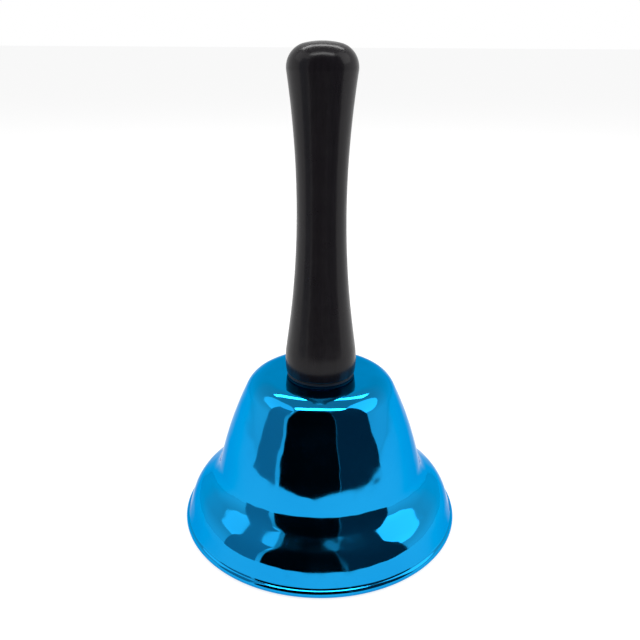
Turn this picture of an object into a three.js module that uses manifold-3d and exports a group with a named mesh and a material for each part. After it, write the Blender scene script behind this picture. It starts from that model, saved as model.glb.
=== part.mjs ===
// Hand bell: a pressed steel bell on a turned wooden handle, with a ball clapper hung on a wire link.
// Units are millimetres, +Z is up. The origin is on the bell's axis, in the plane that the rim stands on.
import * as THREE from 'three';
import { mergeVertices } from 'three/addons/utils/BufferGeometryUtils.js';
import Module from 'manifold-3d';

const wasm = await Module();
wasm.setup();

// ---------------------------------------------------------------- driving dimensions

// Bell: one sheet, described from the crown outwards and down by arcs that meet tangentially.
const MOUTH_R = 40;
const SHEET = 0.7;
const CROWN_FLAT_R = 14.6;
const SHOULDER_R = 7.2;
const WAIST_R = 113;
const FLARE_R = 8.4;
const BOW_R = 9.6;
const WAIST_TOP_ANGLE = 25.5; // angles are in degrees from vertical, and open outwards on the way down
const WAIST_FOOT_ANGLE = 13;
const FLARE_ANGLE = 51;
const FLARE_LENGTH = 3.4;
const LIP_ANGLE = 18.7;
const LIP_LENGTH = 4.5;
const BEAD_R = 1.2; // the rim is curled outwards into a bead
const BEAD_FLAT = 0.05; // taken off the bead's underside, so the bell stands on a narrow flat ring

// Handle: the same kind of outline, from the top down.
const TOTAL_HEIGHT = 132.7;
const CAP_R = 20;
const KNUCKLE_R = 5.75;
const KNUCKLE_ANGLE = 77.2;
const GRIP_TAPER = 7.8;
const TOP_TAPER_LENGTH = 0.4;
const GRIP_WAIST_R = 244;
const FOOT_SWELL_R = 29;
const FOOT_TUCK_R = 21;
const FOOT_TUCK_ANGLE = 8.5;
const FOOT_EDGE_R = 0.6;

// Fastening: a screw eye goes up through washers, crown and seat washer into the handle.
const SEAT_WASHER = { outer: 9.4, hole: 2.4, thick: 0.8 };
const CROWN_HOLE_R = 2.4;
const INNER_WASHER = { outer: 9, hole: 2.4, thick: 1 };
const SPRING_WASHER = { outer: 3.8, hole: 2.3, thick: 0.9, slit: 0.8, slant: 20 };
const SHANK_R = 2;
const BORE_GAP = 0.3;
const SCREW_DEPTH = 26; // length of screw inside the wood
const SCREW_TIP = 4;
const COLLAR = { outer: 3.6, thick: 0.8 };

// Clapper: eye, link and rod are bent wire, hung in each other with a little play.
const EYE = { ring: 2.6, wire: 1, sunk: 0.5 }; // the top of the eye is sunk into the neck and collar
const NECK = { outer: 1.2, high: 0.6 };
const LINK = { ring: 2.8, wire: 0.6 };
const LOOP = { ring: 1.9, wire: 0.75 };
const PLAY = 0.25;
const BALL_R = 8;
const BALL_Z = 10.5;
const BALL_BORE_R = 1.05;
const RIVET = { outer: 1.7, edge: 1.36, thick: 0.8 };
const PINCH = { wide: 3.4, deep: 1, high: 1.5, gap: 0.2 }; // the rod is pinched flat above the ball

// Facets
const BELL_SEGMENTS = 56;
const HANDLE_SEGMENTS = 36;
const HARDWARE_SEGMENTS = 24;
const WIRE_SEGMENTS = 10;
const BEAD_STEPS = 8;
const BALL_STEPS = 14;

// ---------------------------------------------------------------- geometry tools

const radians = THREE.MathUtils.degToRad;

// Walks an outline outwards and down. Angles are measured from vertical; each arc turns from the
// current angle to the next one, and a line runs straight at the current angle.
class Outline {
  constructor(radius, height, angle) {
    this.angle = angle;
    this.points = [new THREE.Vector2(radius, height)];
    this.angles = [angle];
  }
  get end() {
    return this.points[this.points.length - 1];
  }
  add(radius, height, angle) {
    this.points.push(new THREE.Vector2(radius, height));
    this.angles.push(angle);
    this.angle = angle;
  }
  line(length) {
    const a = radians(this.angle);
    this.add(this.end.x + length * Math.sin(a), this.end.y - length * Math.cos(a), this.angle);
    return this;
  }
  arc(arcRadius, toAngle, steps) {
    const start = this.end.clone();
    const from = this.angle;
    const side = Math.sign(from - toAngle); // the arc's centre is inside the outline on a convex arc
    for (let i = 1; i <= steps; i++) {
      const angle = from + ((toAngle - from) * i) / steps;
      const a = radians(angle);
      const b = radians(from);
      this.add(
        start.x + side * arcRadius * (Math.cos(a) - Math.cos(b)),
        start.y + side * arcRadius * (Math.sin(a) - Math.sin(b)),
        angle,
      );
    }
    return this;
  }
}

const turned = (points, segments) => {
  const closed = [...points, points[0]];
  const geometry = new THREE.LatheGeometry(closed.reverse(), segments);
  return geometry.rotateX(Math.PI / 2); // a lathe turns about Y
};

const rectangle = (inner, outer, bottom, top) => [
  new THREE.Vector2(inner, bottom),
  new THREE.Vector2(inner, top),
  new THREE.Vector2(outer, top),
  new THREE.Vector2(outer, bottom),
];

const solidOf = (geometry) => {
  const bare = geometry.index ? geometry.toNonIndexed() : geometry.clone();
  bare.deleteAttribute('normal');
  bare.deleteAttribute('uv');
  const merged = mergeVertices(bare, 1e-4);
  return new wasm.Manifold(
    new wasm.Mesh({
      numProp: 3,
      vertProperties: merged.attributes.position.array,
      triVerts: new Uint32Array(merged.index.array),
    }),
  );
};

const geometryOf = (solid) => {
  const { vertProperties, triVerts } = solid.getMesh();
  const geometry = new THREE.BufferGeometry();
  geometry.setAttribute('position', new THREE.BufferAttribute(vertProperties, 3));
  geometry.setIndex(new THREE.BufferAttribute(triVerts, 1));
  geometry.computeVertexNormals();
  return geometry;
};

const joined = (...geometries) =>
  geometryOf(geometries.map(solidOf).reduce((whole, piece) => whole.add(piece)));

const part = new THREE.Group();
const place = (name, geometry, material) => {
  const mesh = new THREE.Mesh(geometry, material);
  mesh.name = name;
  part.add(mesh);
};

// ---------------------------------------------------------------- materials

const blueChrome = new THREE.MeshStandardMaterial({ color: 0x1499dd, roughness: 0.06, metalness: 1 });
const blackLacquer = new THREE.MeshStandardMaterial({ color: 0x1d1c1f, roughness: 0.32, metalness: 0 });
const blackFibre = new THREE.MeshStandardMaterial({ color: 0x17161b, roughness: 0.6, metalness: 0 });
const zincSteel = new THREE.MeshStandardMaterial({ color: 0xc3c6c9, roughness: 0.3, metalness: 1 });
const springSteel = new THREE.MeshStandardMaterial({ color: 0x8f9296, roughness: 0.38, metalness: 1 });
const nickelSteel = new THREE.MeshStandardMaterial({ color: 0xd2d0ca, roughness: 0.16, metalness: 1 });

// ---------------------------------------------------------------- bell

const bellOutline = () => {
  const outline = new Outline(CROWN_HOLE_R, 0, 90)
    .line(CROWN_FLAT_R - CROWN_HOLE_R)
    .arc(SHOULDER_R, WAIST_TOP_ANGLE, 7)
    .arc(WAIST_R, WAIST_FOOT_ANGLE, 5)
    .arc(FLARE_R, FLARE_ANGLE, 6)
    .line(FLARE_LENGTH)
    .arc(BOW_R, LIP_ANGLE, 5)
    .line(LIP_LENGTH);
  return outline;
};

const outline = bellOutline();
const beadCentre = new THREE.Vector2(MOUTH_R - BEAD_R, BEAD_R - BEAD_FLAT);

// The lip runs into the upper side of the bead, a little outside the bead's centre.
const lipMeetsBead = Math.sqrt(BEAD_R ** 2 - (outline.end.x - beadCentre.x) ** 2);
const CROWN_Z = beadCentre.y + lipMeetsBead - outline.end.y;

const bellShell = () => {
  const outer = outline.points.map((p) => new THREE.Vector2(p.x, p.y + CROWN_Z));
  const inner = outer.map((p, i) => {
    const a = radians(outline.angles[i]);
    return new THREE.Vector2(p.x - SHEET * Math.cos(a), p.y - SHEET * Math.sin(a));
  });
  inner[0].x = CROWN_HOLE_R;

  const flatHalf = Math.sqrt(BEAD_R ** 2 - beadCentre.y ** 2);
  const start = Math.atan2(outer.at(-1).y - beadCentre.y, outer.at(-1).x - beadCentre.x);
  const stop = -Math.PI / 2 + Math.asin(flatHalf / BEAD_R);
  const bead = [];
  for (let i = 1; i <= BEAD_STEPS; i++) {
    const a = start + ((stop - start) * i) / BEAD_STEPS;
    bead.push(new THREE.Vector2(beadCentre.x + BEAD_R * Math.cos(a), beadCentre.y + BEAD_R * Math.sin(a)));
  }
  bead.at(-1).y = 0;
  const innerEdge = new THREE.Vector2(beadCentre.x - flatHalf, 0);
  return turned([...outer, ...bead, innerEdge, ...inner.reverse()], BELL_SEGMENTS);
};

place('bell_shell', bellShell(), blueChrome);

// ---------------------------------------------------------------- seat washer and handle

const seatTop = CROWN_Z + SEAT_WASHER.thick;
place(
  'seat_washer',
  turned(rectangle(SEAT_WASHER.hole, SEAT_WASHER.outer, CROWN_Z, seatTop), HANDLE_SEGMENTS),
  blackFibre,
);

const handle = () => {
  const side = new Outline(0, TOTAL_HEIGHT, 90)
    .arc(CAP_R, KNUCKLE_ANGLE, 4)
    .arc(KNUCKLE_R, -GRIP_TAPER, 6)
    .line(TOP_TAPER_LENGTH)
    .arc(GRIP_WAIST_R, GRIP_TAPER, 8);
  // The lower taper takes up whatever height is left above the foot.
  const footSwell = FOOT_SWELL_R * Math.sin(radians(GRIP_TAPER));
  const footTuck = FOOT_TUCK_R * Math.sin(radians(FOOT_TUCK_ANGLE));
  const footEdge = FOOT_EDGE_R * (1 - Math.sin(radians(FOOT_TUCK_ANGLE)));
  const left = side.end.y - seatTop - footSwell - footTuck - footEdge;
  side
    .line(left / Math.cos(radians(GRIP_TAPER)))
    .arc(FOOT_SWELL_R, 0, 3)
    .arc(FOOT_TUCK_R, -FOOT_TUCK_ANGLE, 2)
    .arc(FOOT_EDGE_R, -90, 3);
  side.end.y = seatTop;

  const boreR = SHANK_R + BORE_GAP;
  const boreTop = seatTop + SCREW_DEPTH - SCREW_TIP + BORE_GAP;
  const bore = [
    new THREE.Vector2(boreR, seatTop),
    new THREE.Vector2(boreR, boreTop),
    new THREE.Vector2(0, boreTop + SCREW_TIP),
  ];
  return turned([...side.points, ...bore], HANDLE_SEGMENTS);
};

place('handle', handle(), blackLacquer);

// ---------------------------------------------------------------- washers under the crown

const crownUnderside = CROWN_Z - SHEET;
const innerWasherBottom = crownUnderside - INNER_WASHER.thick;
const springWasherBottom = innerWasherBottom - SPRING_WASHER.thick;
const collarBottom = springWasherBottom - COLLAR.thick;

place(
  'inner_washer',
  turned(
    rectangle(INNER_WASHER.hole, INNER_WASHER.outer, innerWasherBottom, crownUnderside),
    HANDLE_SEGMENTS,
  ),
  zincSteel,
);

const springWasher = () => {
  const ring = turned(
    rectangle(SPRING_WASHER.hole, SPRING_WASHER.outer, springWasherBottom, innerWasherBottom),
    HARDWARE_SEGMENTS,
  );
  const reach = SPRING_WASHER.outer * 2;
  const slit = new THREE.BoxGeometry(reach, SPRING_WASHER.slit, reach)
    .rotateX(radians(SPRING_WASHER.slant))
    .translate(reach / 2, 0, (springWasherBottom + innerWasherBottom) / 2);
  return geometryOf(solidOf(ring).subtract(solidOf(slit)));
};

place('spring_washer', springWasher(), springSteel);

// ---------------------------------------------------------------- screw eye

const eyeZ = collarBottom - EYE.ring - EYE.wire + EYE.sunk;
const linkPivotZ = eyeZ - EYE.ring;

const wireRing = ({ ring, wire }, segments) => new THREE.TorusGeometry(ring, wire, WIRE_SEGMENTS, segments);

const screwEye = () => {
  const tipZ = seatTop + SCREW_DEPTH;
  const screw = turned(
    [
      new THREE.Vector2(0, tipZ),
      new THREE.Vector2(SHANK_R, tipZ - SCREW_TIP),
      new THREE.Vector2(SHANK_R, springWasherBottom),
      new THREE.Vector2(COLLAR.outer, springWasherBottom),
      new THREE.Vector2(COLLAR.outer, collarBottom),
      new THREE.Vector2(NECK.outer, collarBottom - NECK.high),
      new THREE.Vector2(0, collarBottom - NECK.high),
    ],
    HARDWARE_SEGMENTS,
  );
  const eye = wireRing(EYE, HARDWARE_SEGMENTS).rotateX(Math.PI / 2).translate(0, 0, eyeZ);
  return joined(screw, eye);
};

place('screw_eye', screwEye(), nickelSteel);

// ---------------------------------------------------------------- link, clapper rod and ball

// The link hangs on the eye's lower wire and lies across the eye.
const linkZ = linkPivotZ + EYE.wire + PLAY - (LINK.ring - LINK.wire);
const clapperPivotZ = linkZ - LINK.ring;

place(
  'link_ring',
  wireRing(LINK, HARDWARE_SEGMENTS).rotateY(Math.PI / 2).translate(0, 0, linkZ),
  zincSteel,
);

const clapperRod = () => {
  const loopZ = clapperPivotZ + LINK.wire + PLAY - (LOOP.ring - LOOP.wire);
  const loop = wireRing(LOOP, HARDWARE_SEGMENTS).rotateX(Math.PI / 2).translate(0, 0, loopZ);
  const rodTop = loopZ - LOOP.ring;
  const ballBottom = BALL_Z - BALL_R;
  const rod = turned(
    [
      new THREE.Vector2(0, rodTop),
      new THREE.Vector2(LOOP.wire, rodTop),
      new THREE.Vector2(LOOP.wire, ballBottom),
      new THREE.Vector2(RIVET.outer, ballBottom),
      new THREE.Vector2(RIVET.edge, ballBottom - RIVET.thick),
      new THREE.Vector2(0, ballBottom - RIVET.thick),
    ],
    HARDWARE_SEGMENTS / 2,
  );
  const pinchZ = BALL_Z + BALL_R + PINCH.gap + PINCH.high / 2;
  const pinch = new THREE.BoxGeometry(PINCH.wide, PINCH.deep, PINCH.high).translate(0, 0, pinchZ);
  return joined(loop, rod, pinch);
};

place('clapper_rod', clapperRod(), zincSteel);

const clapperBall = () => {
  const points = [];
  const start = Math.asin(BALL_BORE_R / BALL_R);
  for (let i = 0; i <= BALL_STEPS; i++) {
    const a = start + ((Math.PI - 2 * start) * i) / BALL_STEPS;
    points.push(new THREE.Vector2(BALL_R * Math.sin(a), BALL_Z + BALL_R * Math.cos(a)));
  }
  return turned(points, HARDWARE_SEGMENTS);
};

place('clapper_ball', clapperBall(), nickelSteel);

export default part;
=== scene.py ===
"""A hand bell: a pressed steel bell with a blue mirror finish on a black lacquered wooden handle.

The pieces come in the order in which the bell is put together, each with its sizes, mesh and finish.
"""

import math

import bpy
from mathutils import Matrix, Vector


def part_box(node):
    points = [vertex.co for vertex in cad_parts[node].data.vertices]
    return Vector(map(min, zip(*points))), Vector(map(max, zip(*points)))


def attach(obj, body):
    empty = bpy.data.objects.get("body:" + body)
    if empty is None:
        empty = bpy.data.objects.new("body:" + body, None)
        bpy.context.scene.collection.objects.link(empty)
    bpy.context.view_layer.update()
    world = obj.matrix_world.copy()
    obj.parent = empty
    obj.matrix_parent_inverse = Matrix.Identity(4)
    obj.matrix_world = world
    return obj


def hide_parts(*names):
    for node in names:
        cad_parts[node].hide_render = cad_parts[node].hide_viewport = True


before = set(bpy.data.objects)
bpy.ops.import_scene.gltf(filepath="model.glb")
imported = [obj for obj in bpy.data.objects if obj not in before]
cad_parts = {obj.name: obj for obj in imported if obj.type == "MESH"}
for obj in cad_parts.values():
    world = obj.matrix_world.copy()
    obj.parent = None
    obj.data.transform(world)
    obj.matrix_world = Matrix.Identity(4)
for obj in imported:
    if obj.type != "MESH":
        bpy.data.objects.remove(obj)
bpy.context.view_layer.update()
bpy.ops.object.select_all(action="DESELECT")

MM = 0.001


# ---------------------------------------------------------------------------------------------------
# Bell: deep-drawn from one disc of steel sheet. The crown is flat where the handle sits, and the rim
# is curled outwards into a bead, whose tucked edge leaves a fine groove below the lip.

SHEET = 0.7 * MM
BEAD_R = 1.2 * MM
BEAD_START, BEAD_STOP, BEAD_STEP = 66, -191, -4
CROWN_HOLE_R = 2.4 * MM
CROWN_LENGTH = 12.2 * MM
SHOULDER_R = 7.2 * MM
WAIST_R = 113 * MM
FLARE_R = 8.4 * MM
FLARE_LENGTH = 3.4 * MM
BOW_R = 9.6 * MM
LIP_LENGTH = 4.4 * MM
WAIST_TOP_ANGLE = 25.5
WAIST_FOOT_ANGLE = 13
FLARE_ANGLE = 51
LIP_ANGLE = 18.7
_, bell_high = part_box("bell_shell")
mouth_r = bell_high.y
crown_z = bell_high.z


def bend(outline, radius, start, end, step):
    """Carries an outline on along an arc, in steps of a few degrees. Angles are in degrees from straight
    down, and open outwards."""
    x, z, _ = outline[-1]
    side = 1 if start > end else -1
    count = math.ceil(abs(end - start) / step)
    from_angle = math.radians(start)
    for i in range(1, count + 1):
        angle = math.radians(start + (end - start) * i / count)
        across = math.cos(angle) - math.cos(from_angle)
        up = math.sin(angle) - math.sin(from_angle)
        outline.append((x + side * radius * across, z + side * radius * up, angle))


def run_on(outline, length, count=8):
    """Carries an outline on in a straight line, at the angle that it already has. The line is in short
    lengths, so that the shading of a corner at its end stays at the corner."""
    x, z, angle = outline[-1]
    for i in range(1, count + 1):
        along = length * i / count
        outline.append((x + along * math.sin(angle), z - along * math.cos(angle), angle))


def turned(name, outline, steps):
    """Draws an outline in the XZ plane by extruding a vertex along it, and spins it about the Z axis."""
    bpy.ops.mesh.primitive_plane_add(size=MM)
    piece = bpy.context.object
    piece.name = piece.data.name = name
    bpy.ops.object.mode_set(mode="EDIT")
    bpy.ops.mesh.merge(type="CENTER")
    x, z = outline[0][:2]
    bpy.ops.transform.translate(value=(x, 0, z))
    for point in outline[1:]:
        step = (point[0] - x, 0, point[1] - z)
        bpy.ops.mesh.extrude_region_move(TRANSFORM_OT_translate={"value": step})
        x, z = point[:2]
    bpy.ops.mesh.select_all(action="SELECT")
    bpy.ops.mesh.spin(steps=steps, angle=math.tau, center=(0, 0, 0), axis=(0, 0, 1))
    close_up()
    return piece


def close_up():
    """Merges the seams of the piece in edit mode, closes open ends, and turns all faces outwards."""
    bpy.ops.mesh.select_all(action="SELECT")
    bpy.ops.mesh.remove_doubles(threshold=0.002 * MM)
    bpy.ops.mesh.select_all(action="DESELECT")
    bpy.ops.mesh.select_mode(type="EDGE")
    bpy.ops.mesh.select_non_manifold()
    bpy.ops.mesh.fill_holes(sides=0)
    bpy.ops.mesh.select_all(action="SELECT")
    bpy.ops.mesh.normals_make_consistent(inside=False)
    bpy.ops.mesh.select_mode(type="VERT")
    bpy.ops.object.mode_set(mode="OBJECT")
    bpy.ops.object.shade_smooth_by_angle(angle=math.radians(35))


def bell_outline():
    """The sheet's outer side from the crown's hole to the lip, round the bead and back up the inside."""
    outer = [(CROWN_HOLE_R, crown_z, math.radians(90))]
    run_on(outer, CROWN_LENGTH)
    bend(outer, SHOULDER_R, 90, WAIST_TOP_ANGLE, 2)
    bend(outer, WAIST_R, WAIST_TOP_ANGLE, WAIST_FOOT_ANGLE, 0.5)
    bend(outer, FLARE_R, WAIST_FOOT_ANGLE, FLARE_ANGLE, 2)
    run_on(outer, FLARE_LENGTH)
    bend(outer, BOW_R, FLARE_ANGLE, LIP_ANGLE, 2)
    run_on(outer, LIP_LENGTH)
    inner = []
    for x, z, angle in outer:
        inner.append((x - SHEET * math.cos(angle), z - SHEET * math.sin(angle)))
    inner[0] = (outer[0][0], inner[0][1])
    bead_x = mouth_r - BEAD_R
    bead = []
    for angle in range(BEAD_START, BEAD_STOP, BEAD_STEP):
        a = math.radians(angle)
        bead.append((bead_x + BEAD_R * math.cos(a), BEAD_R + BEAD_R * math.sin(a)))
    return outer + bead + inner[::-1] + outer[:1]


def srgb(hex_colour):
    """An sRGB hex colour as linear RGBA."""
    channels = []
    for i in (1, 3, 5):
        value = int(hex_colour[i : i + 2], 16) / 255
        channels.append(value / 12.92 if value <= 0.04045 else ((value + 0.055) / 1.055) ** 2.4)
    return (*channels, 1)


def add_node(material, kind, inputs=None, **properties):
    """Adds a node to a material. Each input is a value, or an output of another node to link from."""
    node = material.node_tree.nodes.new(kind)
    for name, value in properties.items():
        setattr(node, name, value)
    for name, value in (inputs or {}).items():
        if isinstance(value, bpy.types.NodeSocket):
            material.node_tree.links.new(value, node.inputs[name])
        else:
            node.inputs[name].default_value = value
    return node


def new_material(name):
    """An empty material, with its object coordinates and its Principled shader already in place."""
    material = bpy.data.materials.new(name)
    material.use_nodes = True
    coordinates = add_node(material, "ShaderNodeTexCoord").outputs["Object"]
    return material, coordinates, material.node_tree.nodes["Principled BSDF"]


def blue_mirror_plating():
    """Tinted nickel-chrome plating, polished to a mirror on a wheel: it reflects sharply in blue, with
    waves about 8 mm apart left by the press, hairline polishing rings, and smears about 11 mm across."""
    material, coordinates, shader = new_material("blue_mirror_plating")
    cloud = add_node(material, "ShaderNodeTexNoise", {"Vector": coordinates, "Scale": 45, "Detail": 2})
    tint = add_node(material, "ShaderNodeMix", {"Factor": cloud.outputs["Fac"]}, data_type="RGBA")
    tint.inputs["A"].default_value = srgb("#118ED1")
    tint.inputs["B"].default_value = srgb("#1B9CDA")
    material.node_tree.links.new(tint.outputs["Result"], shader.inputs["Base Color"])
    shader.inputs["Metallic"].default_value = 1
    # The tint lies over the metal, so the bell's edges stay blue where plain chrome would turn white.
    shader.inputs["Specular Tint"].default_value = srgb("#A8CCE8")
    smear = add_node(
        material, "ShaderNodeTexNoise", {"Vector": coordinates, "Scale": 90, "Detail": 4, "Roughness": 0.6}
    )
    roughness = add_node(
        material,
        "ShaderNodeMapRange",
        {"Value": smear.outputs["Fac"], "From Min": 0.4, "From Max": 0.75, "To Min": 0.05, "To Max": 0.12},
    )
    material.node_tree.links.new(roughness.outputs["Result"], shader.inputs["Roughness"])
    # The rings are about 0.3 mm apart: noise squeezed along Z and drawn out round the bell.
    squeeze = add_node(material, "ShaderNodeMapping", {"Vector": coordinates, "Scale": (60, 60, 3300)})
    rings = add_node(material, "ShaderNodeTexNoise", {"Vector": squeeze.outputs["Vector"], "Scale": 1})
    ring_bump = add_node(
        material,
        "ShaderNodeBump",
        {"Height": rings.outputs["Fac"], "Strength": 0.06, "Distance": 0.004 * MM},
    )
    dent = add_node(material, "ShaderNodeTexNoise", {"Vector": coordinates, "Scale": 130, "Detail": 1})
    dent_bump = add_node(
        material,
        "ShaderNodeBump",
        {
            "Height": dent.outputs["Fac"],
            "Strength": 1,
            "Distance": 0.22 * MM,
            "Normal": ring_bump.outputs["Normal"],
        },
    )
    material.node_tree.links.new(dent_bump.outputs["Normal"], shader.inputs["Normal"])
    return material


def finish(piece, node, body, material):
    """Puts a finished piece in its CAD node's place, on its body and with its finish."""
    piece.data.materials.clear()
    piece.data.materials.append(material)
    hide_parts(node)
    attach(piece, body)
    bpy.ops.object.select_all(action="DESELECT")


bell = turned("bell", bell_outline(), 192)
finish(bell, "bell_shell", "bell", blue_mirror_plating())


# ---------------------------------------------------------------------------------------------------
# Seat washer: a ring punched from black vulcanised fibre. It beds the wooden handle on the plated
# crown, and its edges are a little rounded by the punch.

seat_low, seat_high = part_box("seat_washer")
SEAT_HOLE_R = 2.4 * MM


def ring_outline(inner, outer, bottom, top, edge):
    """A flat ring's section, with each corner rounded."""
    corners = ((outer - edge, top - edge, 90), (outer - edge, bottom + edge, 0))
    corners += ((inner + edge, bottom + edge, -90), (inner + edge, top - edge, -180))
    outline = []
    for x, z, angle in corners:
        for turn in (0, 30, 60, 90):
            a = math.radians(angle - turn)
            outline.append((x + edge * math.cos(a), z + edge * math.sin(a)))
    return outline + outline[:1]


def black_fibre():
    """Vulcanised fibre: dense, dyed cotton paper. Matt and even, with short pressed fibres in it."""
    material, coordinates, shader = new_material("black_fibre")
    shader.inputs["Base Color"].default_value = srgb("#1E1C20")
    shader.inputs["Roughness"].default_value = 0.55
    fibres = add_node(
        material, "ShaderNodeTexNoise", {"Vector": coordinates, "Scale": 2500, "Detail": 6, "Distortion": 1.5}
    )
    bump = add_node(
        material,
        "ShaderNodeBump",
        {"Height": fibres.outputs["Fac"], "Strength": 0.4, "Distance": 0.05 * MM},
    )
    material.node_tree.links.new(bump.outputs["Normal"], shader.inputs["Normal"])
    return material


seat = turned(
    "seat_ring", ring_outline(SEAT_HOLE_R, seat_high.x, seat_low.z, seat_high.z, 0.15 * MM), 96
)
finish(seat, "seat_washer", "bell", black_fibre())


# ---------------------------------------------------------------------------------------------------
# Handle: turned from beech, with a domed top, a waisted grip and a swollen foot, and sprayed black.
# The nib left by the lathe's centre was pared off, which leaves a small flat on the top.

BORE_R = 2.3 * MM
BORE_DEPTH = 22.3 * MM
BORE_TIP = 4 * MM
NIB_R = 0.9 * MM
NIB_CUT = 0.02 * MM
CAP_R = 20 * MM
KNUCKLE_R = 5.75 * MM
KNUCKLE_ANGLE = 77.2
CAP_START_ANGLE = 87.4
GRIP_TAPER = 7.8
TOP_TAPER_LENGTH = 0.4 * MM
GRIP_WAIST_R = 244 * MM
FOOT_SWELL_R = 29 * MM
FOOT_TUCK_R = 21 * MM
FOOT_TUCK_ANGLE = 8.5
FOOT_EDGE_R = 0.6 * MM
handle_low, handle_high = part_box("handle")


def handle_outline():
    """From the nib on the dome, down the grip to the foot, and up the bore for the screw."""
    taper = math.radians(GRIP_TAPER)
    tuck = math.radians(FOOT_TUCK_ANGLE)
    nib_z = handle_high.z - NIB_CUT
    outline = [(0, nib_z, math.radians(90)), (NIB_R, nib_z, 0)]
    bend(outline, CAP_R, CAP_START_ANGLE, KNUCKLE_ANGLE, 2)
    bend(outline, KNUCKLE_R, KNUCKLE_ANGLE, -GRIP_TAPER, 3)
    run_on(outline, TOP_TAPER_LENGTH)
    bend(outline, GRIP_WAIST_R, -GRIP_TAPER, GRIP_TAPER, 0.5)
    below = FOOT_SWELL_R * math.sin(taper) + FOOT_TUCK_R * math.sin(tuck)
    below += FOOT_EDGE_R * (1 - math.sin(tuck))
    run_on(outline, (outline[-1][1] - handle_low.z - below) / math.cos(taper))
    bend(outline, FOOT_SWELL_R, GRIP_TAPER, 0, 1)
    bend(outline, FOOT_TUCK_R, 0, -FOOT_TUCK_ANGLE, 1)
    bend(outline, FOOT_EDGE_R, -FOOT_TUCK_ANGLE, -90, 12)
    outline.append((BORE_R, handle_low.z))
    outline.append((BORE_R, handle_low.z + BORE_DEPTH))
    outline.append((0, handle_low.z + BORE_DEPTH + BORE_TIP))
    return outline


def black_lacquered_wood():
    """Black nitrocellulose lacquer over beech: near-black with a satin gloss, slightly wavy where the
    coats flowed, with the long pores of the wood only just showing through."""
    material, coordinates, shader = new_material("black_lacquered_wood")
    pores_map = add_node(material, "ShaderNodeMapping", {"Vector": coordinates, "Scale": (1500, 1500, 70)})
    pores = add_node(
        material, "ShaderNodeTexNoise", {"Vector": pores_map.outputs["Vector"], "Scale": 1, "Detail": 3}
    )
    stain = add_node(material, "ShaderNodeMix", {"Factor": pores.outputs["Fac"]}, data_type="RGBA")
    stain.inputs["A"].default_value = srgb("#0C0A0D")
    stain.inputs["B"].default_value = srgb("#171418")
    material.node_tree.links.new(stain.outputs["Result"], shader.inputs["Base Color"])
    shader.inputs["Specular IOR Level"].default_value = 0.05
    shader.inputs["Coat Weight"].default_value = 0.32
    shader.inputs["Coat Roughness"].default_value = 0.19
    wear = add_node(material, "ShaderNodeTexNoise", {"Vector": coordinates, "Scale": 160, "Detail": 3})
    roughness = add_node(
        material,
        "ShaderNodeMapRange",
        {"Value": wear.outputs["Fac"], "From Min": 0.3, "From Max": 0.7, "To Min": 0.26, "To Max": 0.38},
    )
    material.node_tree.links.new(roughness.outputs["Result"], shader.inputs["Roughness"])
    pore_bump = add_node(
        material,
        "ShaderNodeBump",
        {"Height": pores.outputs["Fac"], "Strength": 0.15, "Distance": 0.02 * MM},
    )
    flow = add_node(material, "ShaderNodeTexNoise", {"Vector": coordinates, "Scale": 220, "Detail": 1})
    flow_bump = add_node(
        material,
        "ShaderNodeBump",
        {
            "Height": flow.outputs["Fac"],
            "Strength": 0.5,
            "Distance": 0.1 * MM,
            "Normal": pore_bump.outputs["Normal"],
        },
    )
    material.node_tree.links.new(flow_bump.outputs["Normal"], shader.inputs["Normal"])
    material.node_tree.links.new(flow_bump.outputs["Normal"], shader.inputs["Coat Normal"])
    return material


handle = turned("turned_handle", handle_outline(), 128)
finish(handle, "handle", "bell", black_lacquered_wood())


# ---------------------------------------------------------------------------------------------------
# Inner washer: a stock zinc-plated steel washer that spreads the screw's pull under the crown.
# Punching leaves its edges slightly rounded.

inner_low, inner_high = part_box("inner_washer")


def zinc_plated_steel():
    """Bright zinc over drawn steel: pale, slightly blue-grey metal with a soft, cloudy gloss."""
    material, coordinates, shader = new_material("zinc_plated_steel")
    cloud = add_node(material, "ShaderNodeTexNoise", {"Vector": coordinates, "Scale": 400, "Detail": 4})
    tint = add_node(material, "ShaderNodeMix", {"Factor": cloud.outputs["Fac"]}, data_type="RGBA")
    tint.inputs["A"].default_value = srgb("#B9BDC2")
    tint.inputs["B"].default_value = srgb("#D3D4D2")
    material.node_tree.links.new(tint.outputs["Result"], shader.inputs["Base Color"])
    shader.inputs["Metallic"].default_value = 1
    roughness = add_node(
        material,
        "ShaderNodeMapRange",
        {"Value": cloud.outputs["Fac"], "From Min": 0.3, "From Max": 0.7, "To Min": 0.22, "To Max": 0.4},
    )
    material.node_tree.links.new(roughness.outputs["Result"], shader.inputs["Roughness"])
    grit = add_node(material, "ShaderNodeTexNoise", {"Vector": coordinates, "Scale": 3000, "Detail": 2})
    bump = add_node(
        material, "ShaderNodeBump", {"Height": grit.outputs["Fac"], "Strength": 0.15, "Distance": 0.02 * MM}
    )
    material.node_tree.links.new(bump.outputs["Normal"], shader.inputs["Normal"])
    return material


zinc = zinc_plated_steel()
inner = turned(
    "crown_washer", ring_outline(SEAT_HOLE_R, inner_high.x, inner_low.z, inner_high.z, 0.2 * MM), 96
)
finish(inner, "inner_washer", "bell", zinc)


# ---------------------------------------------------------------------------------------------------
# Spring washer: a turn of square spring-steel wire with its ends cut apart. It is tightened nearly
# flat between the inner washer and the screw eye's collar, and keeps the handle from working loose.

SPRING_HOLE_R = 2.3 * MM
SPRING_GAP_ANGLE = 13
spring_low, spring_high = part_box("spring_washer")


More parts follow.
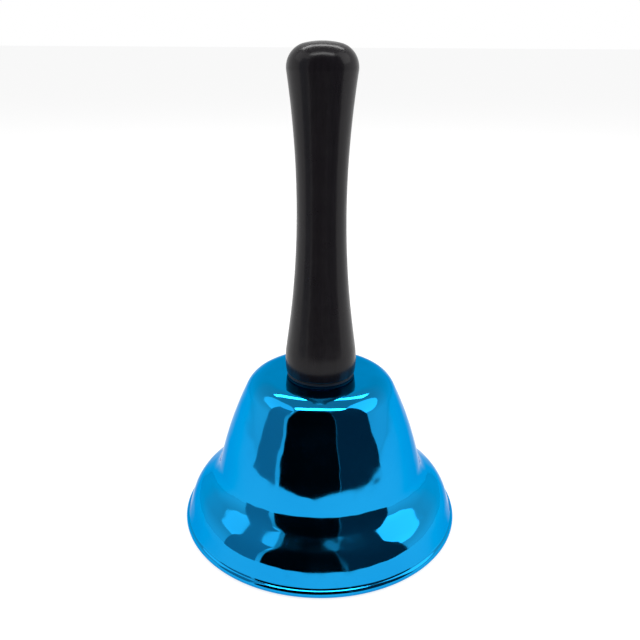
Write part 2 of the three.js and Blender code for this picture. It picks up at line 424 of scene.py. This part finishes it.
def spring_steel():
    """Hardened and oiled spring steel: dark grey, with a dull gloss and faint drawing lines."""
    material, coordinates, shader = new_material("spring_steel")
    shader.inputs["Base Color"].default_value = srgb("#8B8E92")
    shader.inputs["Metallic"].default_value = 1
    lines = add_node(material, "ShaderNodeMapping", {"Vector": coordinates, "Scale": (300, 300, 9000)})
    drawn = add_node(
        material, "ShaderNodeTexNoise", {"Vector": lines.outputs["Vector"], "Scale": 1, "Detail": 2}
    )
    roughness = add_node(
        material,
        "ShaderNodeMapRange",
        {"Value": drawn.outputs["Fac"], "From Min": 0.3, "From Max": 0.7, "To Min": 0.3, "To Max": 0.48},
    )
    material.node_tree.links.new(roughness.outputs["Result"], shader.inputs["Roughness"])
    return material


def split_washer():
    """A rectangle stood on edge beside the axis, spun most of the way round it, with its edges eased."""
    width = spring_high.y - SPRING_HOLE_R
    height = spring_high.z - spring_low.z
    middle = (SPRING_HOLE_R + width / 2, 0, spring_low.z + height / 2)
    bpy.ops.mesh.primitive_plane_add(size=1, location=middle, rotation=(math.radians(90), 0, 0))
    piece = bpy.context.object
    piece.name = piece.data.name = "split_washer"
    piece.scale = (width, height, 1)
    bpy.ops.object.transform_apply()
    bpy.ops.object.mode_set(mode="EDIT")
    around = math.radians(360 - SPRING_GAP_ANGLE)
    bpy.ops.mesh.spin(steps=72, angle=around, center=(0, 0, 0), axis=(0, 0, 1))
    close_up()
    ease = piece.modifiers.new("eased_edges", "BEVEL")
    ease.width = 0.1 * MM
    ease.segments = 2
    ease.limit_method = "ANGLE"
    ease.angle_limit = math.radians(50)
    bpy.ops.object.modifier_apply(modifier=ease.name)
    return piece


finish(split_washer(), "spring_washer", "bell", spring_steel())


# ---------------------------------------------------------------------------------------------------
# Screw eye: nickel-plated steel wire, with a rolled wood thread that pulls the bell up against the
# handle, an upset collar, and its lower end bent round into the eye that the clapper hangs on.

EYE_R = 2.6 * MM
EYE_WIRE_R = 1 * MM
EYE_BEND_R = 1.5 * MM
COLLAR_R = 3.6 * MM
COLLAR_THICK = 0.8 * MM
SHANK_R = 2 * MM
SHANK_TIP = 4 * MM
THREAD_PITCH = 1.8 * MM
THREAD_TURNS = 11
THREAD_R = 0.42 * MM
THREAD_OUT = 0.08 * MM
EYE_TURN = 292
eye_low, eye_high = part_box("screw_eye")
eye_z = eye_low.z + EYE_WIRE_R + EYE_R


def loop_ends(ring_r, bend_r):
    """Where the straight wire leaves a loop's axis: its distance from the loop's middle, and the turn
    in the small bend that leads into the loop."""
    reach = math.sqrt((ring_r + bend_r) ** 2 - bend_r**2)
    return reach, math.atan2(reach, bend_r)


def start_wire(name, radius, place):
    """A disc across the wire's axis, which points along Z, left in edit mode with its face selected."""
    bpy.ops.mesh.primitive_circle_add(vertices=24, radius=radius, fill_type="NGON", location=place)
    piece = bpy.context.object
    piece.name = piece.data.name = name
    bpy.ops.object.transform_apply()
    bpy.ops.object.mode_set(mode="EDIT")
    bpy.ops.mesh.select_mode(type="FACE")
    bpy.ops.mesh.select_all(action="SELECT")
    return piece


def nickel_plated_steel():
    """Bright nickel over steel: a warm, mirror-like metal with light handling scratches."""
    material, coordinates, shader = new_material("nickel_plated_steel")
    shader.inputs["Base Color"].default_value = srgb("#D6D1C6")
    shader.inputs["Metallic"].default_value = 1
    rub = add_node(
        material, "ShaderNodeTexNoise", {"Vector": coordinates, "Scale": 500, "Detail": 6, "Roughness": 0.7}
    )
    roughness = add_node(
        material,
        "ShaderNodeMapRange",
        {"Value": rub.outputs["Fac"], "From Min": 0.35, "From Max": 0.7, "To Min": 0.08, "To Max": 0.26},
    )
    material.node_tree.links.new(roughness.outputs["Result"], shader.inputs["Roughness"])
    bump = add_node(
        material, "ShaderNodeBump", {"Height": rub.outputs["Fac"], "Strength": 0.1, "Distance": 0.02 * MM}
    )
    material.node_tree.links.new(bump.outputs["Normal"], shader.inputs["Normal"])
    return material


def eye_wire():
    """The wire from inside the collar, through its first small bend, and round the eye. Known fault: the
    bend turns up where it should turn down, so the eye is wider than EYE_R and cuts the link."""
    reach, first_bend = loop_ends(EYE_R, EYE_BEND_R)
    piece = start_wire("eye_wire", EYE_WIRE_R, (0, 0, eye_z + reach))
    bend_centre = (EYE_BEND_R, 0, eye_z + reach)
    bpy.ops.mesh.spin(steps=10, angle=-first_bend, center=bend_centre, axis=(0, 1, 0))
    bpy.ops.mesh.spin(steps=56, angle=math.radians(EYE_TURN), center=(0, 0, eye_z), axis=(0, 1, 0))
    bpy.ops.mesh.bevel(offset=0.2 * MM, segments=3)
    close_up()
    return piece


def wood_thread():
    """A triangle spun up the shank by a Screw modifier, with its ends closed."""
    place = (SHANK_R + THREAD_OUT, 0, eye_high.z - SHANK_TIP - THREAD_PITCH * THREAD_TURNS)
    bpy.ops.mesh.primitive_circle_add(
        vertices=3, radius=THREAD_R, location=place, rotation=(math.radians(90), 0, 0)
    )
    piece = bpy.context.object
    bpy.ops.object.transform_apply()
    screw = piece.modifiers.new("thread", "SCREW")
    screw.screw_offset = THREAD_PITCH
    screw.iterations = THREAD_TURNS
    screw.steps = screw.render_steps = 28
    bpy.ops.object.modifier_apply(modifier=screw.name)
    bpy.ops.object.mode_set(mode="EDIT")
    close_up()
    return piece


def screw_eye():
    """The shank with its point and collar, joined with the thread and the eye."""
    collar_bottom = spring_low.z - COLLAR_THICK
    edge = 0.15 * MM
    outline = [(0, eye_high.z), (0.3 * MM, eye_high.z - 0.4 * MM), (SHANK_R, eye_high.z - SHANK_TIP)]
    outline += [(SHANK_R, spring_low.z), (COLLAR_R - edge, spring_low.z), (COLLAR_R, spring_low.z - edge)]
    outline += [(COLLAR_R, collar_bottom + edge), (COLLAR_R - edge, collar_bottom), (0, collar_bottom)]
    shank = turned("screw_eye_wire", outline, 64)
    others = [eye_wire(), wood_thread()]
    bpy.ops.object.select_all(action="DESELECT")
    for piece in (*others, shank):
        piece.select_set(True)
    bpy.context.view_layer.objects.active = shank
    bpy.ops.object.join()
    return shank


nickel = nickel_plated_steel()
finish(screw_eye(), "screw_eye", "bell", nickel)


# ---------------------------------------------------------------------------------------------------
# Link ring: zinc-plated wire bent into a closed ring. It hangs on the eye, across it, and its two
# cut ends meet at one side with a hair's gap.

LINK_R = 2.8 * MM
LINK_WIRE_R = 0.6 * MM
LINK_GAP_ANGLE = 4
link_low, link_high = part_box("link_ring")
link_z = (link_low.z + link_high.z) / 2


def link():
    """A disc beside the axis, spun almost all the way round the ring's middle."""
    piece = start_wire("wire_link", LINK_WIRE_R, (0, LINK_R, link_z))
    around = math.radians(360 - LINK_GAP_ANGLE)
    bpy.ops.mesh.spin(steps=72, angle=around, center=(0, 0, link_z), axis=(1, 0, 0))
    close_up()
    return piece


finish(link(), "link_ring", "link", zinc)


# ---------------------------------------------------------------------------------------------------
# Clapper rod: one length of zinc-plated wire. Its top is bent into a loop that hangs in the link, it
# is pinched flat just above the ball, and its foot is hammered into a head that holds the ball.

ROD_LOOP_R = 1.9 * MM
ROD_WIRE_R = 0.75 * MM
ROD_BEND_R = 1.2 * MM
PINCH_WIDE = 3.4 * MM
PINCH_DEEP = 1 * MM
PINCH_HIGH = 1.5 * MM
HEAD_R = 1.7 * MM
PINCH_SLOPE = 0.3 * MM
PINCH_GAP = 0.25 * MM
LOOP_TURN = 296
rod_low, rod_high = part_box("clapper_rod")
ball_low, ball_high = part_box("clapper_ball")
rod_loop_z = rod_high.z - ROD_WIRE_R - ROD_LOOP_R


def grow(height, across=1.0, deep=None):
    """Extrudes the wire's end face upwards, and scales the new face."""
    bpy.ops.mesh.extrude_region_move(TRANSFORM_OT_translate={"value": (0, 0, height)})
    size = (across, deep or across, 1)
    bpy.ops.transform.resize(value=size, center_override=(0, 0, 0))


def clapper_rod():
    """From the hammered head, up through the ball and the pinch, into the small bend and the loop. Known
    fault: the bend turns down where it should turn up, so the loop is wider than ROD_LOOP_R."""
    reach, first_bend = loop_ends(ROD_LOOP_R, ROD_BEND_R)
    piece = start_wire("bent_rod", HEAD_R * 0.7, (0, 0, rod_low.z))
    grow(0.2 * MM, 1.3)
    grow(0.25 * MM, 1 / 0.91)
    grow(0.35 * MM)
    grow(0.12 * MM, ROD_WIRE_R / HEAD_R)
    pinch_low = ball_high.z + PINCH_GAP
    height = rod_low.z + 0.92 * MM
    grow(pinch_low - height)
    wide = PINCH_WIDE / (2 * ROD_WIRE_R)
    deep = PINCH_DEEP / (2 * ROD_WIRE_R)
    grow(PINCH_SLOPE, wide, deep)
    grow(PINCH_HIGH - 2 * PINCH_SLOPE)
    grow(PINCH_SLOPE, 1 / wide, 1 / deep)
    loop_start = rod_loop_z - reach
    grow(loop_start - pinch_low - PINCH_HIGH)
    bend_centre = (ROD_BEND_R, 0, loop_start)
    bpy.ops.mesh.spin(steps=10, angle=first_bend, center=bend_centre, axis=(0, 1, 0))
    bpy.ops.mesh.spin(steps=48, angle=-math.radians(LOOP_TURN), center=(0, 0, rod_loop_z), axis=(0, 1, 0))
    bpy.ops.mesh.bevel(offset=0.15 * MM, segments=3)
    close_up()
    return piece


finish(clapper_rod(), "clapper_rod", "clapper", zinc)


# ---------------------------------------------------------------------------------------------------
# Clapper ball: a nickel-plated steel ball, bored through and slipped on the rod. The bore's two
# mouths are countersunk a little.

BALL_R = 8 * MM
BALL_BORE_R = 1.05 * MM
ball_z = (ball_low.z + ball_high.z) / 2


def ball_outline():
    """Half of the ball's section, outside from top to bottom, and back up the bore."""
    sink = 0.35 * MM
    start = math.degrees(math.asin((BALL_BORE_R + sink) / BALL_R))
    outline = []
    for i in range(49):
        angle = math.radians(start + (180 - 2 * start) * i / 48)
        outline.append((BALL_R * math.sin(angle), ball_z + BALL_R * math.cos(angle)))
    top = outline[0][1]
    bottom = outline[-1][1]
    outline += [(BALL_BORE_R, bottom + sink), (BALL_BORE_R, top - sink)]
    return outline + outline[:1]


finish(turned("bored_ball", ball_outline(), 72), "clapper_ball", "clapper", nickel)


# ---------------------------------------------------------------------------------------------------
# Stage: a floor that is partly lit from within, pale surroundings, a soft lamp in front, behind and at
# each side, and three dark cards that only show in reflections, as a person and a camera would.


CARD_DISTANCE = 0.28


def pale_floor():
    """White paper with some light coming up through it, as on a light table. It is clear from below so
    that the bell's inside can be looked at."""
    bpy.ops.mesh.primitive_plane_add(size=40)
    floor = bpy.context.object
    floor.name = "floor"
    material, _, shader = new_material("white_paper")
    shader.inputs["Base Color"].default_value = srgb("#9A9A9A")
    shader.inputs["Roughness"].default_value = 1
    shader.inputs["Specular IOR Level"].default_value = 0
    shader.inputs["Emission Color"].default_value = srgb("#FFFFFF")
    shader.inputs["Emission Strength"].default_value = 0.74
    side = add_node(material, "ShaderNodeNewGeometry").outputs["Backfacing"]
    clear = add_node(material, "ShaderNodeBsdfTransparent").outputs["BSDF"]
    mix = add_node(material, "ShaderNodeMixShader", {0: side, 1: shader.outputs["BSDF"], 2: clear})
    output = material.node_tree.nodes["Material Output"]
    material.node_tree.links.new(mix.outputs["Shader"], output.inputs["Surface"])
    floor.data.materials.append(material)


def dark_card(name, azimuth, width, height, shade):
    """An upright card on the floor that faces the bell, and is seen only in reflections. Its azimuth is
    in degrees from the front, anticlockwise."""
    turn = math.radians(azimuth)
    place = (CARD_DISTANCE * math.sin(turn), -CARD_DISTANCE * math.cos(turn), height / 2)
    bpy.ops.mesh.primitive_plane_add(size=1, location=place, rotation=(math.radians(90), 0, turn))
    card = bpy.context.object
    card.name = name
    card.scale = (width, height, 1)
    material, _, shader = new_material(name)
    shader.inputs["Base Color"].default_value = srgb(shade)
    shader.inputs["Roughness"].default_value = 1
    shader.inputs["Specular IOR Level"].default_value = 0
    card.data.materials.append(material)
    card.visible_camera = False
    card.visible_diffuse = False
    card.visible_shadow = False


def lamp(name, shape, place, size, power):
    """A soft lamp that faces the bell."""
    light = bpy.data.lights.new(name, "AREA")
    light.shape = shape
    light.size, light.size_y = size
    light.energy = power
    fixture = bpy.data.objects.new(name, light)
    bpy.context.scene.collection.objects.link(fixture)
    fixture.location = place
    aim = -fixture.location.normalized()
    fixture.rotation_euler = aim.to_track_quat("-Z", "Y").to_euler()


def surroundings():
    """Pale all round, and a little darker straight up."""
    world = bpy.data.worlds.new("studio")
    bpy.context.scene.world = world
    world.use_nodes = True
    direction = add_node(world, "ShaderNodeTexCoord").outputs["Generated"]
    height = add_node(world, "ShaderNodeSeparateXYZ", {"Vector": direction}).outputs["Z"]
    level = add_node(
        world,
        "ShaderNodeMapRange",
        {"Value": height, "From Min": 0.1, "From Max": 0.9, "To Min": 1.0, "To Max": 0.45},
    )
    background = world.node_tree.nodes["Background"]
    background.inputs["Color"].default_value = srgb("#FFFFFF")
    world.node_tree.links.new(level.outputs["Result"], background.inputs["Strength"])


pale_floor()
dark_card("card_front", -12, 0.36, 0.58, "#040405")
dark_card("card_right", 45, 0.25, 0.5, "#2E363C")
dark_card("card_left", -63, 0.14, 0.34, "#868F96")
lamp("front_lamp", "RECTANGLE", (0, -0.26, 0.8), (0.8, 0.12), 2.6)
lamp("back_lamp", "RECTANGLE", (0, 0.42, 0.78), (0.9, 0.14), 3.6)
lamp("left_lamp", "ELLIPSE", (-0.6, -0.08, 0.6), (0.8, 0.5), 0.8)
lamp("right_lamp", "ELLIPSE", (0.6, -0.12, 0.55), (0.8, 0.6), 1.5)
surroundings()

camera_data = bpy.data.cameras.new("camera")
camera = bpy.data.objects.new("camera", camera_data)
bpy.context.scene.collection.objects.link(camera)
bpy.context.scene.camera = camera
CAMERA_PITCH = 21.19
CAMERA_ROLL = 0.35
FOCAL_LENGTH_PER_WIDTH = 1.12
camera_data.sensor_width = 36
camera_data.lens = FOCAL_LENGTH_PER_WIDTH * camera_data.sensor_width
camera_data.clip_start = 0.01
camera.location = (-0.26 * MM, -184.16 * MM, 132.3 * MM)
camera.rotation_euler = (math.radians(90 - CAMERA_PITCH), 0, 0)
camera.rotation_euler.rotate_axis("Z", math.radians(CAMERA_ROLL))
bpy.context.scene.view_settings.view_transform = "Standard"
